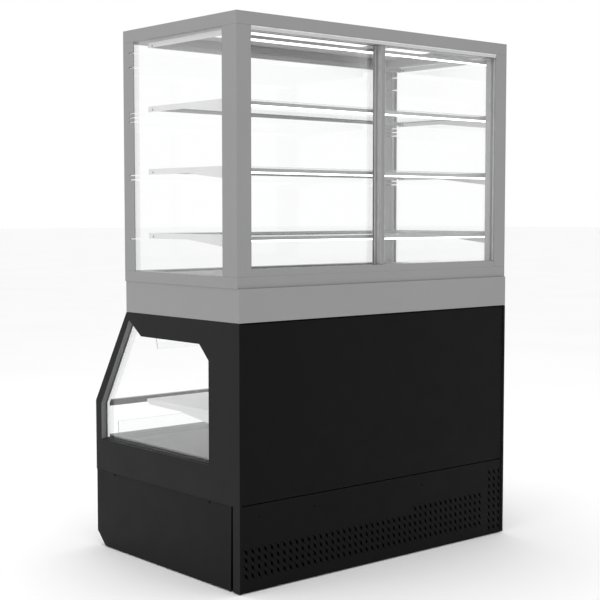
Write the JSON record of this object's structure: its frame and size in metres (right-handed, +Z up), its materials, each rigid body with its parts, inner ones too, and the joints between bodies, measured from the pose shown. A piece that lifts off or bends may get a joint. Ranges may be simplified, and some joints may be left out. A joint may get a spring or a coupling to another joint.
{
  "type": "refrigerated deli case",
  "caption": "Two-tier deli case: black open-front chilled well with end windows under a grey glazed service cabinet with glass shelves and rear sliding doors.",
  "frame": {"origin": "on the floor, under the middle of the case's bounding box", "axes": "+Z up, +X along the case's length to the customer's right, the customer's side faces -Y and the operator's sliding doors face +Y"},
  "size_m": [1.21, 0.81, 1.75],
  "materials": {
    "frame_grey": "satin",
    "panel_black": "satin",
    "grille_black": "satin",
    "bracket_grey": "satin",
    "liner_white": "satin",
    "stainless_steel": "satin",
    "galvanised_steel": "satin",
    "aluminium": "satin",
    "clear_glass": "gloss",
    "clear_acrylic": "gloss",
    "black_plastic": "satin",
    "compressor_black": "gloss",
    "rubber": "matte",
    "copper_pipe": "satin",
    "lamp_diffuser": "satin"
  },
  "bodies": {
    "case": {"air_deflector": "clear_acrylic", "back_duct_panel": "liner_white", "base_housing": "frame_grey", "bottom_frame": "frame_grey", "canopy": "liner_white", "chassis": "galvanised_steel", "compressor": "compressor_black", "condensate_pan": "black_plastic", "condenser_coil": "aluminium", "condenser_shroud": "galvanised_steel", "control_box": "galvanised_steel", "counter_top": "panel_black", "deck_pan": "stainless_steel", "door_track_top": "aluminium", "end_glass_left": "clear_glass", "end_glass_right": "clear_glass", "end_panel_left": "panel_black", "end_panel_right": "panel_black", "end_skirt_left": "panel_black", "end_skirt_right": "panel_black", "end_window_left": "clear_glass", "end_window_right": "clear_glass", "evaporator_coil": "aluminium", "evaporator_fan_plate": "liner_white", "foot_front_left": "rubber", "foot_front_right": "rubber", "foot_rear_left": "rubber", "foot_rear_right": "rubber", "front_glass_lower": "clear_glass", "front_glass_rail": "frame_grey", "front_glass_upper": "clear_glass", "front_panel": "panel_black", "front_post_left": "frame_grey", "front_post_right": "frame_grey", "glass_shelf_1": "clear_glass", "glass_shelf_2": "clear_glass", "glass_shelf_3": "clear_glass", "kick_grille": "grille_black", "light_frame": "frame_grey", "lower_shelf": "bracket_grey", "product_riser": "clear_acrylic", "rear_grille": "grille_black", "rear_panel": "grille_black", "rear_post_left": "frame_grey", "rear_post_right": "frame_grey", "return_air_grille": "stainless_steel", "shelf_frame_1": "bracket_grey", "shelf_frame_2": "bracket_grey", "shelf_frame_3": "bracket_grey", "top_frame": "frame_grey", "tub": "liner_white", "upper_deck": "frame_grey"},
    "door_left": {"door_glass_left": "clear_glass", "door_stile_left": "frame_grey"},
    "door_right": {"door_glass_right": "clear_glass", "door_stile_right": "frame_grey"},
    "evaporator_fan_left": {"evaporator_fan_left": "black_plastic"},
    "evaporator_fan_right": {"evaporator_fan_right": "black_plastic"},
    "condenser_fan": {"condenser_fan": "black_plastic"},
    "power_switch": {"power_switch": "black_plastic"}
  },
  "joints": [
    {"name": "door_left_slide", "type": "slide", "parent": "case", "child": "door_left", "axis": [1, 0, 0], "range_m": [0, 0.53]},
    {"name": "door_right_slide", "type": "slide", "parent": "case", "child": "door_right", "axis": [1, 0, 0], "range_m": [-0.53, 0]},
    {"name": "evaporator_fan_left_spin", "type": "hinge", "parent": "case", "child": "evaporator_fan_left", "pos_m": [-0.25, -0.245, 0.33065], "axis": [0, 1, 0], "continuous": true},
    {"name": "evaporator_fan_right_spin", "type": "hinge", "parent": "case", "child": "evaporator_fan_right", "pos_m": [0.25, -0.245, 0.33065], "axis": [0, 1, 0], "continuous": true},
    {"name": "condenser_fan_spin", "type": "hinge", "parent": "case", "child": "condenser_fan", "pos_m": [0.33, -0.155, 0.124], "axis": [0, 1, 0], "continuous": true},
    {"name": "power_switch_tilt", "type": "hinge", "parent": "case", "child": "power_switch", "pos_m": [-0.41, 0.3305, 0.14], "axis": [1, 0, 0], "range_deg": [-16, 0]}
  ]
}
